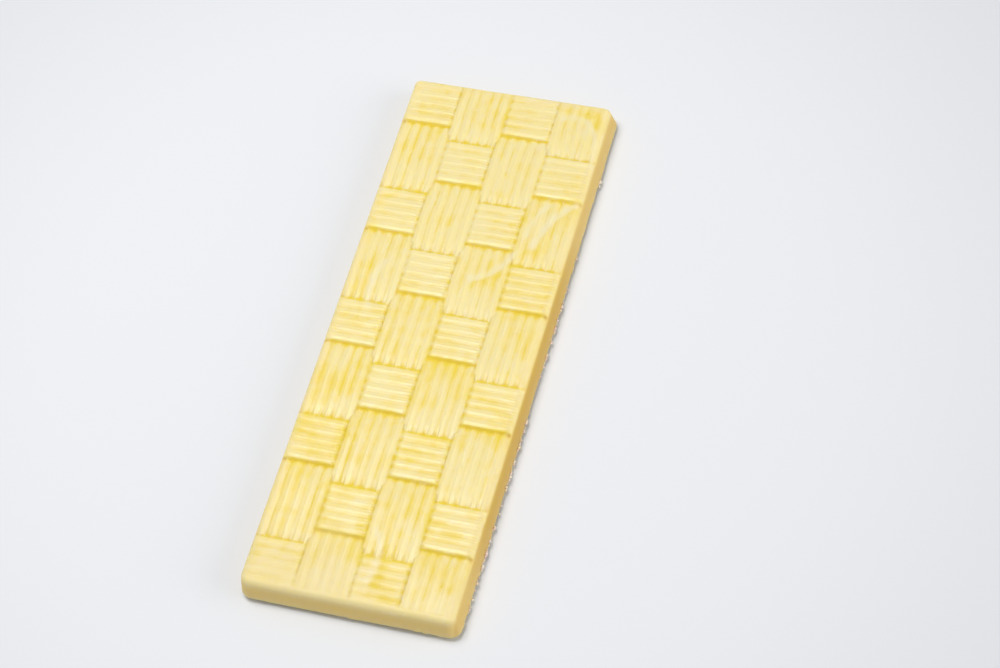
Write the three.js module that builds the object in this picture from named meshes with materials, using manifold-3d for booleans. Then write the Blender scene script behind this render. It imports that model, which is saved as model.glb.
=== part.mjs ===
// A bar of white chocolate cast in a basket-weave mould, lying with its woven face up.
// Its poured back, underneath, is strewn with cake crumbs and sugar sprinkles, and it rests on them.
// Millimetres, +Z up. The bar's length runs along Y, and the origin is on the floor under its middle.

import * as THREE from 'three';
import { mergeVertices } from 'three/addons/utils/BufferGeometryUtils.js';
import Module from 'manifold-3d';

// ---- The weave ----
const columnCount = 4;
const bandCount = 9;
const columnPitch = 13.8; // across the bar, one woven cell to the next
const bandPitch = 18.1; // along the bar, one band of crosswise ribs to the next
const bandLength = 13.4; // how much of the length a crosswise cell covers
const ribsPerCell = 5;
const ribRise = 0.42; // crest of a rib above the grooves beside it
const ribCrest = 0.42; // share of a rib's width that is its flat crest
const cellOverlap = 0.23; // a lengthwise cell spreads this far over each neighbour
const lengthwiseEndDrop = 0.68; // a lengthwise rib dives this far where it goes under
const crosswiseEndDrop = 0.4;
const crosswiseEnd = 1.3; // length over which a crosswise rib dives
const ribUnevenness = 0.07;
const beyond = 2; // cells at the edge carry on this far, and the outline trims them
const tuck = 0.4; // a lengthwise rib carries on this far under the band that covers its end
const grip = 0.07; // a crosswise rib's end reaches this far into its neighbour

// ---- The slab ----
const crestHeight = 7.2; // top of the ribs above the floor
const reliefDepth = 1.15; // from the crests down to the solid slab
const toppingDepth = 1.3; // the back face hangs this far above the floor
const sideMargin = 0.35; // woven face beyond the outer columns
const farMargin = 0.3;
const nearMargin = 1.1;
const draft = 0.55; // the back face is this much larger all round than the woven face
const cornerRadius = 3.4; // of the outline
const cornerSteps = 4;
const edgeRadius = 1.1; // round the woven face
const backEdgeRadius = 0.35;

// ---- The topping ----
const bedDepth = 0.5; // layer of fine crumbs on the back face
const bedInset = 1.7; // its edge lies this far in from the rim, on average
const bedWander = 1.6;
const bedPoints = 56;
const toppingInset = 2.4; // centres keep this far inside the back face
const toppingStray = 2.2; // and stray this far from where the rule puts them
const sprinkleCount = 66;
const lumpCount = 46;
const beadRadius = 0.85;
const pearlRadius = 1.35;
const rodRadius = 0.95;
const rodLength = 6.2;
const buttonRadius = 1.9;
const buttonHeight = 1.5;
const lumpRadius = 1.8;

const weaveLength = (bandCount - 1) * bandPitch + bandLength;
const faceWidth = columnCount * columnPitch + 2 * sideMargin;
const faceLength = weaveLength + farMargin + nearMargin;
const farBandY = faceLength / 2 - farMargin - bandLength / 2;
const slabTop = crestHeight - reliefDepth;
const backWidth = faceWidth + 2 * draft;
const backLength = faceLength + 2 * draft;

const wasm = await Module();
wasm.setup();

// Repeatable draws between 0 and 1.
function drawer(seed) {
  let state = seed;
  return () => {
    state = (state * 1664525 + 1013904223) % 4294967296;
    return state / 4294967296;
  };
}

function toSolid(geometry) {
  const bare = geometry.clone();
  bare.deleteAttribute('normal');
  bare.deleteAttribute('uv');
  const merged = mergeVertices(bare, 1e-5);
  const vertProperties = new Float32Array(merged.attributes.position.array);
  const triVerts = new Uint32Array(merged.index.array);
  return new wasm.Manifold(new wasm.Mesh({ numProp: 3, vertProperties, triVerts }));
}

function toGeometry(solid) {
  const mesh = solid.getMesh();
  const geometry = new THREE.BufferGeometry();
  geometry.setAttribute('position', new THREE.BufferAttribute(mesh.vertProperties, 3));
  geometry.setIndex(new THREE.BufferAttribute(mesh.triVerts, 1));
  geometry.computeVertexNormals();
  return geometry;
}

// A closed mesh from rings of equal length, stacked from the bottom up and capped at both ends.
function loft(rings) {
  const count = rings[0].length;
  const points = rings.flat();
  const index = [];
  for (let level = 0; level < rings.length - 1; level++) {
    for (let i = 0; i < count; i++) {
      const a = level * count + i;
      const b = level * count + ((i + 1) % count);
      index.push(a, b, a + count, b, b + count, a + count);
    }
  }
  const top = (rings.length - 1) * count;
  for (let i = 1; i < count - 1; i++) {
    index.push(0, i + 1, i);
    index.push(top, top + i, top + i + 1);
  }
  const geometry = new THREE.BufferGeometry().setFromPoints(points);
  geometry.setIndex(index);
  return geometry;
}

// The bar's outline at one height, pulled in from the back face's outline by an inset.
function outline(inset, z) {
  const ring = [];
  const radius = cornerRadius - inset;
  const x = backWidth / 2 - cornerRadius;
  const y = backLength / 2 - cornerRadius;
  const centres = [[x, y], [-x, y], [-x, -y], [x, -y]];
  centres.forEach(([cx, cy], corner) => {
    for (let step = 0; step <= cornerSteps; step++) {
      const angle = (corner + step / cornerSteps) * Math.PI / 2;
      ring.push(new THREE.Vector3(cx + radius * Math.cos(angle), cy + radius * Math.sin(angle), z));
    }
  });
  return ring;
}

// Everything the mould and the pouring leave of the bar: sloping sides and softened edges.
function envelope(top) {
  const rings = [
    outline(backEdgeRadius, toppingDepth),
    outline(0, toppingDepth + backEdgeRadius),
    outline(draft, top - edgeRadius),
  ];
  const edgeSteps = 3;
  for (let step = 1; step <= edgeSteps; step++) {
    const angle = step / edgeSteps * Math.PI / 2;
    const inset = draft + edgeRadius * (1 - Math.cos(angle));
    rings.push(outline(inset, top - edgeRadius * (1 - Math.sin(angle))));
  }
  return toSolid(loft(rings));
}

// A closed block with ribs along Y on its top, which stations cut across. Each station has its
// place along the ribs and how far they have dived there. The outermost ribs can be widened.
function ribBlock(width, stations, draw, widened = [0, 0]) {
  const slope = (1 - ribCrest) / 2;
  const section = [];
  for (let rib = 0; rib < ribsPerCell; rib++) {
    const lift = ribUnevenness * (draw() - 1);
    const lean = 0.12 * (draw() - 0.5);
    section.push({ s: rib, up: 0 });
    section.push({ s: rib + slope + lean, up: ribRise + lift });
    section.push({ s: rib + 1 - slope + lean, up: ribRise + lift });
  }
  section.push({ s: ribsPerCell, up: 0 });
  const grooveHeight = crestHeight - ribRise;
  const base = slabTop - 1;
  const columns = section.length;
  const points = [];
  for (const { y, dive } of stations) {
    section.forEach(({ s, up }, i) => {
      const outward = i === 0 ? -widened[0] : i === columns - 1 ? widened[1] : 0;
      const x = (s / ribsPerCell - 0.5) * width + outward;
      points.push(new THREE.Vector3(x, y, grooveHeight + up - dive));
    });
  }
  const under = points.length;
  points.push(...points.map((p) => new THREE.Vector3(p.x, p.y, base)));
  const index = [];
  const last = stations.length - 1;
  for (let row = 0; row < last; row++) {
    for (let i = 0; i < columns - 1; i++) {
      const a = row * columns + i;
      const b = a + columns;
      index.push(a, a + 1, b, a + 1, b + 1, b);
      index.push(under + a, under + b, under + a + 1, under + a + 1, under + b, under + b + 1);
    }
    const left = row * columns;
    const right = left + columns - 1;
    index.push(left, left + columns, under + left, left + columns, under + left + columns, under + left);
    index.push(right, under + right, right + columns);
    index.push(right + columns, under + right, under + right + columns);
  }
  for (let i = 0; i < columns - 1; i++) {
    const far = last * columns + i;
    index.push(i, under + i, i + 1, i + 1, under + i, under + i + 1);
    index.push(far, far + 1, under + far, far + 1, under + far + 1, under + far);
  }
  const geometry = new THREE.BufferGeometry().setFromPoints(points);
  geometry.setIndex(index);
  return geometry;
}

function bandY(band) {
  return farBandY - band * bandPitch;
}

function columnX(column) {
  return (column - (columnCount - 1) / 2) * columnPitch;
}

// Ribs across the bar: level, and diving at the ends that go under a neighbour.
function crosswiseCell(column, band, draw) {
  const half = columnPitch / 2 - cellOverlap + grip;
  const level = half - crosswiseEnd;
  const stations = [
    { y: -half, dive: crosswiseEndDrop },
    { y: -level, dive: 0 },
    { y: level, dive: 0 },
    { y: half, dive: crosswiseEndDrop },
  ];
  if (column === 0) {
    stations.splice(2, 2, { y: half + beyond, dive: 0 });
  }
  if (column === columnCount - 1) {
    stations.splice(0, 2, { y: -half - beyond, dive: 0 });
  }
  const near = band === bandCount - 1 ? beyond : 0;
  const far = band === 0 ? beyond : 0;
  const geometry = ribBlock(bandLength, stations, draw, [near, far]);
  geometry.rotateZ(Math.PI / 2);
  geometry.translate(columnX(column), bandY(band), 0);
  return toSolid(geometry);
}

// Ribs along the bar: an arch that comes up from under one band and goes down under the next.
function lengthwiseCell(column, farY, nearY, draw) {
  const stations = [];
  for (const t of [0, 0.1, 0.35, 0.65, 0.9, 1]) {
    stations.push({ y: nearY + t * (farY - nearY), dive: lengthwiseEndDrop * Math.abs(2 * t - 1) ** 3 });
  }
  const left = column === 0 ? beyond : 0;
  const right = column === columnCount - 1 ? beyond : 0;
  const geometry = ribBlock(columnPitch + 2 * cellOverlap, stations, draw, [left, right]);
  geometry.translate(columnX(column), 0, 0);
  return toSolid(geometry);
}

// Every other column starts with a crosswise cell, so the cells alternate both ways.
function weaveCells() {
  const draw = drawer(7);
  const cells = [];
  for (let column = 0; column < columnCount; column++) {
    let farY = faceLength / 2 + beyond;
    for (let band = column % 2; band < bandCount; band += 2) {
      const start = bandY(band) + bandLength / 2;
      if (band > 0) {
        cells.push(lengthwiseCell(column, farY, start - tuck, draw));
      }
      cells.push(crosswiseCell(column, band, draw));
      farY = start - bandLength + tuck;
    }
    if (farY > bandY(bandCount - 1)) {
      cells.push(lengthwiseCell(column, farY, -faceLength / 2 - beyond, draw));
    }
  }
  return cells;
}

function bareBar() {
  const slab = envelope(slabTop);
  const woven = wasm.Manifold.union([slab, ...weaveCells()]);
  return woven.intersect(envelope(crestHeight));
}

// The layer of fine crumbs. Its edge wanders in and out a little way in from the rim.
function crumbBed() {
  const draw = drawer(59);
  const path = new THREE.Path(outline(0, 0).map((p) => new THREE.Vector2(p.x, p.y)));
  path.closePath();
  const rim = path.getSpacedPoints(bedPoints).slice(0, bedPoints);
  const insets = rim.map(() => bedInset + bedWander * (draw() - 0.5));
  const ring = (extra, z) => rim.map((p, i) => {
    const inset = 2 * (insets[i] + extra);
    return new THREE.Vector3(p.x * (1 - inset / backWidth), p.y * (1 - inset / backLength), z);
  });
  const low = toppingDepth - bedDepth;
  return toSolid(loft([ring(0.5, low), ring(0, low + 0.25), ring(0, toppingDepth + 0.5)]));
}

// Spots spread evenly over the back face: each steps on by two fixed shares of it, and strays a little.
function spot(index, offset, draw) {
  const shareX = 0.7548776662466927;
  const shareY = 0.5698402909980532;
  const x = ((offset + index * shareX) % 1) - 0.5;
  const y = ((offset + index * shareY) % 1) - 0.5;
  return {
    x: x * (backWidth - 2 * toppingInset - toppingStray) + toppingStray * (draw() - 0.5),
    y: y * (backLength - 2 * toppingInset - toppingStray) + toppingStray * (draw() - 0.5),
    turn: draw() * Math.PI,
  };
}

function bead() {
  return new THREE.IcosahedronGeometry(beadRadius);
}

function pearl() {
  return new THREE.IcosahedronGeometry(pearlRadius);
}

function rod() {
  return new THREE.CylinderGeometry(rodRadius, rodRadius, rodLength, 6);
}

function button() {
  const geometry = new THREE.CylinderGeometry(buttonRadius * 0.8, buttonRadius, buttonHeight, 8);
  return geometry.rotateX(Math.PI / 2);
}

// A clot of crumbs: a squat faceted pebble.
function lump(draw) {
  const geometry = new THREE.IcosahedronGeometry(lumpRadius * (0.75 + 0.5 * draw()));
  geometry.rotateX(draw() * Math.PI);
  geometry.scale(0.8 + 0.7 * draw(), 0.8 + 0.5 * draw(), 0.75);
  return geometry;
}

// A draw from 0 to 1 picks the kind of sprinkle: beads are the most common.
function sprinkle(pick) {
  if (pick < 0.58) return bead();
  if (pick < 0.72) return rod();
  if (pick < 0.84) return pearl();
  return button();
}

// Turns a shape about Z and lets it down at its spot until it stands a little way off the floor.
function settle(geometry, { x, y, turn }, lift) {
  geometry.rotateZ(turn);
  geometry.computeBoundingBox();
  geometry.translate(x, y, lift - geometry.boundingBox.min.z);
  return toSolid(geometry);
}

function sprinkles() {
  const draw = drawer(23);
  const solids = [];
  for (let i = 0; i < sprinkleCount; i++) {
    const place = spot(i, 0.5, draw);
    solids.push(settle(sprinkle(draw()), place, 0));
  }
  return solids;
}

function lumps() {
  const draw = drawer(41);
  const solids = [];
  for (let i = 0; i < lumpCount; i++) {
    const place = spot(i, 0.13, draw);
    solids.push(settle(lump(draw), place, 0.25 * draw()));
  }
  return solids;
}

// The floor takes off whatever would reach below it.
function aboveFloor(solid) {
  const size = 2 * backLength;
  const block = new THREE.BoxGeometry(size, size, size);
  block.translate(0, 0, size / 2);
  return solid.intersect(toSolid(block));
}

function chocolateBar() {
  const pieces = [bareBar(), crumbBed(), ...sprinkles(), ...lumps()];
  const whole = aboveFloor(wasm.Manifold.union(pieces));
  const material = new THREE.MeshStandardMaterial({ color: 0xf6e6a2, roughness: 0.38, metalness: 0 });
  const mesh = new THREE.Mesh(toGeometry(whole), material);
  mesh.name = 'bar';
  return mesh;
}

const group = new THREE.Group();
group.add(chocolateBar());

export default group;
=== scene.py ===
"""A bar of white chocolate cast in a basket-weave mould, lying with its woven face up.

The weave has crosswise and lengthwise cells of ribs that go over and under each other. The
poured back, underneath, is strewn with fine cake crumbs, clots of crumbs and sugar sprinkles,
and the bar rests on them. The bar's length runs along Y, and Z = 0 is the surface it lies on.
"""

import math

import bpy
import numpy as np
from mathutils import Matrix, Vector


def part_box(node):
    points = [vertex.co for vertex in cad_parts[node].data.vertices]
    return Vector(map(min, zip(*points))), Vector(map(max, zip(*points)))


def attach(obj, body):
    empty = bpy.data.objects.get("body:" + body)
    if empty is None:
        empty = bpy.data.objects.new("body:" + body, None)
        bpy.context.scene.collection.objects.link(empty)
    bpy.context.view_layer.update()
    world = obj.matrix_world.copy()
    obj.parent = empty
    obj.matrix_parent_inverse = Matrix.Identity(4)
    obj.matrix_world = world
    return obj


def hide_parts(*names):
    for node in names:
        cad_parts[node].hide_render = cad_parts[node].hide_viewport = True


bl_info = {
    "name": "Woven White Chocolate Bar",
    "version": (1, 0, 0),
    "blender": (4, 5, 0),
    "location": "View3D > Sidebar > Chocolate",
    "description": "A basket-weave bar of white chocolate on its crumb and sprinkle topping",
    "category": "Add Mesh",
}

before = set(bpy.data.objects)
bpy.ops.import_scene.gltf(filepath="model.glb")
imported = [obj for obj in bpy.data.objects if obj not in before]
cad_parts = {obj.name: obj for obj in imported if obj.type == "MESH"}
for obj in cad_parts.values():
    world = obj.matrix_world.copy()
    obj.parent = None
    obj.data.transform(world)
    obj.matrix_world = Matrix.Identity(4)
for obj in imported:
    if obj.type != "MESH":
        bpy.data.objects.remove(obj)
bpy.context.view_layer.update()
bar_low, bar_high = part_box("bar")

MM = 0.001


def paint(red, green, blue):
    """A colour as a screen shows it, 0 to 255 a channel, turned into linear light."""
    shares = [channel / 255 for channel in (red, green, blue)]
    return tuple(s / 12.92 if s <= 0.04045 else ((s + 0.055) / 1.055) ** 2.4 for s in shares)


# ---- What a user would change ----


def length(name, description, millimetres, **limits):
    return bpy.props.FloatProperty(
        name=name, description=description, default=millimetres * MM,
        unit="LENGTH", precision=5, min=0.0, **limits,
    )


def colour(name, description, rgb):
    return bpy.props.FloatVectorProperty(
        name=name, description=description, default=rgb,
        subtype="COLOR", size=3, min=0.0, max=1.0,
    )


def count(name, description, default):
    return bpy.props.IntProperty(name=name, description=description, default=default, min=0)


class BarWeaveSettings(bpy.types.PropertyGroup):
    column_count: count("Columns", "Cells across the bar", 4)
    band_count: count("Bands", "Bands of crosswise cells along the bar", 9)
    ribs_per_cell: count("Ribs per cell", "Ribs side by side in one cell", 5)
    column_pitch: length("Column pitch", "Across the bar, one cell to the next", 13.8)
    band_pitch: length("Band pitch", "Along the bar, one band to the next", 18.1)
    band_length: length("Band length", "How much of the length a crosswise cell covers", 13.4)
    far_margin: length("Far margin", "Face beyond the first band", 0.3)
    rib_rise: length("Rib rise", "Crest of a rib above its grooves", 0.26)
    lengthwise_dive: length("Lengthwise dive", "How far a lengthwise rib's ends go down", 0.66)
    crosswise_dive: length("Crosswise dive", "How far a crosswise rib's ends go down", 0.38)
    overlap: length("Overlap", "How far a lengthwise cell spreads over its neighbours", 0.23)
    line_rise: length("Line rise", "Height of the fine lines along the ribs", 0.045)
    softness: length("Softness", "How far the mould rounds the edges of the relief", 0.26)


class BarSlabSettings(bpy.types.PropertyGroup):
    corner_radius: length("Corner radius", "Of the outline on the right", 3.0)
    left_corner_radius: length("Left corner radius", "Of the outline on the left", 2.2)
    near_left_radius: length("Near left radius", "Of the outline at the near left corner", 3.6)
    edge_radius: length("Edge radius", "Rounding round the woven face", 1.35)
    draft: length("Draft", "How much larger the back is all round", 0.55)
    right_flare: length("Right flare", "How much further the right wall's foot stands out", 0.8)
    far_reach: length("Far reach", "How much further the far end stands out", 0.5)
    near_slope: length("Near slope", "How much further in the near wall's top lies", 0.9)
    back_edge: length("Back edge", "Rounding round the poured back", 0.35)
    back_height: length("Back height", "The poured back above the surface", 1.3)
    rim_wave: length("Rim wave", "Unevenness of the poured rim", 0.16)


class BarToppingSettings(bpy.types.PropertyGroup):
    sprinkle_count: count("Sprinkles", "Large sugar pieces under the bar", 66)
    clot_count: count("Clots", "Clots of crumbs under the bar", 46)
    grain_count: count("Grains", "Loose fine crumbs of each colour", 7600)
    rim_grain_count: count("Rim grains", "Crumbs that peep out round the rim", 260)
    fine_bead_count: count("Fine beads", "Tiny sugar beads between the crumbs", 72)
    bed_depth: length("Bed depth", "Thickness of the layer of fine crumbs", 0.55)
    bead_radius: length("Bead radius", "Of a small sugar bead", 0.85)
    pearl_radius: length("Pearl radius", "Of a large sugar pearl", 1.35)
    rod_radius: length("Rod radius", "Of a sugar rod", 0.95)
    rod_length: length("Rod length", "Of a sugar rod", 6.2)
    shape_radius: length("Shape radius", "Of a star, flower or button", 1.9)
    shape_height: length("Shape height", "Of a star, flower or button", 1.5)
    clot_radius: length("Clot radius", "Of a clot of crumbs, on average", 1.8)


class BarColourSettings(bpy.types.PropertyGroup):
    chocolate: colour("Chocolate", "White chocolate on the crests", paint(249, 229, 168))
    # Painted shade: this deeper yellow stands in for the shade and inter-reflection down in the
    # grooves, pockets and creases of the face.
    hollow_shade: colour("Hollows", "White chocolate down in the grooves", paint(240, 214, 66))
    # The bloom colour also paints the paler foot of the walls, partly painted light bounced up from
    # the floor.
    bloom: colour("Bloom", "Pale smears on the chocolate", paint(249, 235, 200))
    # Painted shade: the face dulls to this towards its edges, where the rounding turns from the
    # light, and over the near end, where the light falls off.
    rim: colour("Rim", "White chocolate along the edges of the face", paint(234, 219, 164))
    # Painted shade: the walls' deeper, more saturated yellow stands in for the shade and
    # inter-reflection on them.
    side: colour("Sides", "White chocolate on the walls", paint(241, 211, 129))
    # Painted shade, deepest on the right wall towards its foot and along the middle of its length.
    wall_shade: colour("Deep sides", "The deeper tone of the right wall", paint(203, 158, 60))
    crumb: colour("Crumb", "Cream cake crumbs", paint(247, 227, 186))
    crumb_light: colour("Light crumb", "The paler parts of the cream crumbs", paint(253, 241, 214))
    crumb_pink: colour("Pink crumb", "Pinkish cake crumbs", paint(245, 212, 194))
    crumb_pink_light: colour(
        "Light pink crumb", "The paler parts of the pinkish ones", paint(250, 228, 220))
    clot: colour("Clot", "Crumbs stuck together", paint(250, 236, 220))
    clot_deep: colour("Deep clot", "The deeper parts of the clots", paint(247, 224, 210))
    white: colour("White sugar", "White sprinkles", paint(240, 238, 238))
    teal: colour("Teal sugar", "Teal sprinkles", paint(0, 118, 152))
    purple: colour("Purple sugar", "Purple sprinkles", paint(86, 44, 150))
    magenta: colour("Magenta sugar", "Magenta sprinkles", paint(214, 32, 104))
    pink: colour("Pink sugar", "Pink sprinkles", paint(240, 112, 168))
    orange: colour("Orange sugar", "Orange sprinkles", paint(236, 92, 24))
    yellow: colour("Yellow sugar", "Yellow sprinkles", paint(240, 214, 48))
    green: colour("Green sugar", "Green sprinkles", paint(92, 168, 30))


class BarStageSettings(bpy.types.PropertyGroup):
    lens: bpy.props.FloatProperty(
        name="Lens", description="Focal length", default=99.88, unit="CAMERA", min=1.0)
    distance: length("Distance", "Camera to the point it looks at", 717.18)
    heading: bpy.props.FloatProperty(
        name="Heading", description="Where the camera looks, from +Y towards +X",
        default=math.radians(-25.053), subtype="ANGLE")
    elevation: bpy.props.FloatProperty(
        name="Elevation", description="Camera above the horizon",
        default=math.radians(56.803), subtype="ANGLE")
    roll: bpy.props.FloatProperty(
        name="Roll", description="Camera turned about its own axis",
        default=math.radians(-11.562), subtype="ANGLE")
    key_power: bpy.props.FloatProperty(
        name="Key power", description="Large soft light above", default=3.28, unit="POWER", min=0.0)
    fill_power: bpy.props.FloatProperty(
        name="Fill power", description="Weak soft light on the right", default=5.6,
        unit="POWER", min=0.0)
    fill_strength: bpy.props.FloatProperty(
        name="Room", description="Brightness of the room all round", default=0.36, min=0.0)
    floor: colour("Floor", "Plain pale surface", paint(235, 236, 238))


# ---- Small helpers ----


def clear_selection():
    if bpy.context.object and bpy.context.object.mode != "OBJECT":
        bpy.ops.object.mode_set(mode="OBJECT")
    bpy.ops.object.select_all(action="DESELECT")


def coordinates(obj):
    flat = np.empty(len(obj.data.vertices) * 3)
    obj.data.vertices.foreach_get("co", flat)
    return flat.reshape(-1, 3)


def place_vertices(obj, points):
    obj.data.vertices.foreach_set("co", np.asarray(points, np.float32).ravel())
    obj.data.update()


def keep_values(obj, name, values):
    """Stores one number a vertex, for a material to read."""
    layer = obj.data.attributes.new(name, "FLOAT", "POINT")
    layer.data.foreach_set("value", np.asarray(values, np.float32))


def finish_piece(obj, name, material, crease=math.pi):
    """Names a finished mesh, gives it its material, smooths it up to the crease angle, hangs it on
    the root body and hides the imported bar.
    """
    obj.name = obj.data.name = name
    obj.data.materials.clear()
    obj.data.materials.append(material)
    clear_selection()
    obj.select_set(True)
    bpy.context.view_layer.objects.active = obj
    bpy.ops.object.transform_apply(location=True, rotation=True, scale=True)
    bpy.ops.object.shade_smooth_by_angle(angle=crease)
    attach(obj, "root")
    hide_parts("bar")


def draws(seed):
    """Repeatable draws between 0 and 1."""
    state = seed
    while True:
        state = (state * 1664525 + 1013904223) % 4294967296
        yield state / 4294967296


def soft_noise(x, y, cell, seed):
    """Smooth random hills between -1 and 1, about one cell apart."""
    size = 128
    table = np.random.default_rng(seed).uniform(-1, 1, (size, size))
    u, v = x / cell + size, y / cell + size
    i, j = np.floor(u).astype(int), np.floor(v).astype(int)
    s, t = u - i, v - j
    s, t = s * s * (3 - 2 * s), t * t * (3 - 2 * t)
    i, j, i1, j1 = i % size, j % size, (i + 1) % size, (j + 1) % size
    near = table[i, j] * (1 - s) + table[i1, j] * s
    far = table[i, j1] * (1 - s) + table[i1, j1] * s
    return near * (1 - t) + far * t


def smooth_step(value, low, high):
    share = np.clip((value - low) / (high - low), 0, 1)
    return share * share * (3 - 2 * share)


# ---- Materials ----


def new_material(name, roughness):
    """A material with one Principled shader. Returns it with its nodes and the shader."""
    material = bpy.data.materials.new(name)
    material.use_nodes = True
    nodes = material.node_tree.nodes
    nodes.clear()
    output = nodes.new("ShaderNodeOutputMaterial")
    shader = nodes.new("ShaderNodeBsdfPrincipled")
    shader.inputs["Roughness"].default_value = roughness
    material.node_tree.links.new(shader.outputs["BSDF"], output.inputs["Surface"])
    return material, nodes, shader


def join(tree, source, target):
    tree.links.new(source, target)


def object_coordinates(nodes):
    return nodes.new("ShaderNodeTexCoord").outputs["Object"]


def stretched(tree, vector, scale):
    mapping = tree.nodes.new("ShaderNodeMapping")
    mapping.inputs["Scale"].default_value = scale
    join(tree, vector, mapping.inputs["Vector"])
    return mapping.outputs["Vector"]


def noise(tree, vector, scale, detail=2.0, roughness=0.5, distortion=0.0):
    node = tree.nodes.new("ShaderNodeTexNoise")
    node.inputs["Scale"].default_value = scale
    node.inputs["Detail"].default_value = detail
    node.inputs["Roughness"].default_value = roughness
    node.inputs["Distortion"].default_value = distortion
    join(tree, vector, node.inputs["Vector"])
    return node.outputs["Fac"]


def mapped(tree, value, low, high, to_low=0.0, to_high=1.0):
    node = tree.nodes.new("ShaderNodeMapRange")
    node.interpolation_type = "SMOOTHSTEP"
    limits = {"From Min": low, "From Max": high, "To Min": to_low, "To Max": to_high}
    for socket, number in limits.items():
        node.inputs[socket].default_value = number
    join(tree, value, node.inputs["Value"])
    return node.outputs["Result"]


def maths(tree, operation, first, second):
    node = tree.nodes.new("ShaderNodeMath")
    node.operation = operation
    for socket, value in zip(node.inputs, (first, second)):
        if isinstance(value, (int, float)):
            socket.default_value = value
        else:
            join(tree, value, socket)
    return node.outputs["Value"]


def plus(tree, first, second):
    return maths(tree, "ADD", first, second)


def minus(tree, first, second):
    return maths(tree, "SUBTRACT", first, second)


def times(tree, first, second):
    return maths(tree, "MULTIPLY", first, second)


def blended(tree, share, first, second):
    """Mixes two colours. Each is a socket or three numbers."""
    node = tree.nodes.new("ShaderNodeMix")
    node.data_type = "RGBA"
    join(tree, share, node.inputs[0])
    for socket, value in ((node.inputs[6], first), (node.inputs[7], second)):
        if isinstance(value, bpy.types.NodeSocket):
            join(tree, value, socket)
        else:
            socket.default_value = (*value, 1.0)
    return node.outputs[2]


def stored(nodes, name):
    node = nodes.new("ShaderNodeAttribute")
    node.attribute_name = name
    return node.outputs["Fac"]


def bumped(tree, shader, height, distance, strength):
    node = tree.nodes.new("ShaderNodeBump")
    node.inputs["Distance"].default_value = distance
    node.inputs["Strength"].default_value = strength
    join(tree, height, node.inputs["Height"])
    join(tree, node.outputs["Normal"], shader.inputs["Normal"])


def mottle_group():
    """Shared effect: soft cloudy patches. Puts out a mask, and a finer one for bumps."""
    group = bpy.data.node_groups.get("mottle")
    if group:
        return group
    group = bpy.data.node_groups.new("mottle", "ShaderNodeTree")
    interface = group.interface
    interface.new_socket(name="Vector", in_out="INPUT", socket_type="NodeSocketVector")
    for name, default in (("Scale", 100.0), ("Low", 0.4), ("High", 0.65)):
        socket = interface.new_socket(name=name, in_out="INPUT", socket_type="NodeSocketFloat")
        socket.default_value = default
    for name in ("Mask", "Fine"):
        interface.new_socket(name=name, in_out="OUTPUT", socket_type="NodeSocketFloat")
    given = group.nodes.new("NodeGroupInput")
    result = group.nodes.new("NodeGroupOutput")
    clouds = group.nodes.new("ShaderNodeTexNoise")
    clouds.inputs["Detail"].default_value = 3.0
    clouds.inputs["Distortion"].default_value = 0.6
    fine = group.nodes.new("ShaderNodeTexNoise")
    fine.inputs["Detail"].default_value = 2.0
    ranged = group.nodes.new("ShaderNodeMapRange")
    ranged.interpolation_type = "SMOOTHSTEP"
    join(group, given.outputs["Vector"], clouds.inputs["Vector"])
    join(group, given.outputs["Vector"], fine.inputs["Vector"])
    join(group, given.outputs["Scale"], clouds.inputs["Scale"])
    join(group, times(group, given.outputs["Scale"], 6.0), fine.inputs["Scale"])
    join(group, clouds.outputs["Fac"], ranged.inputs["Value"])
    join(group, given.outputs["Low"], ranged.inputs["From Min"])
    join(group, given.outputs["High"], ranged.inputs["From Max"])
    join(group, ranged.outputs["Result"], result.inputs["Mask"])
    join(group, fine.outputs["Fac"], result.inputs["Fine"])
    return group


def mottled(tree, vector, scale, low, high):
    node = tree.nodes.new("ShaderNodeGroup")
    node.node_tree = mottle_group()
    node.inputs["Scale"].default_value = scale
    node.inputs["Low"].default_value = low
    node.inputs["High"].default_value = high
    join(tree, vector, node.inputs["Vector"])
    return node.outputs["Mask"], node.outputs["Fine"]


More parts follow.
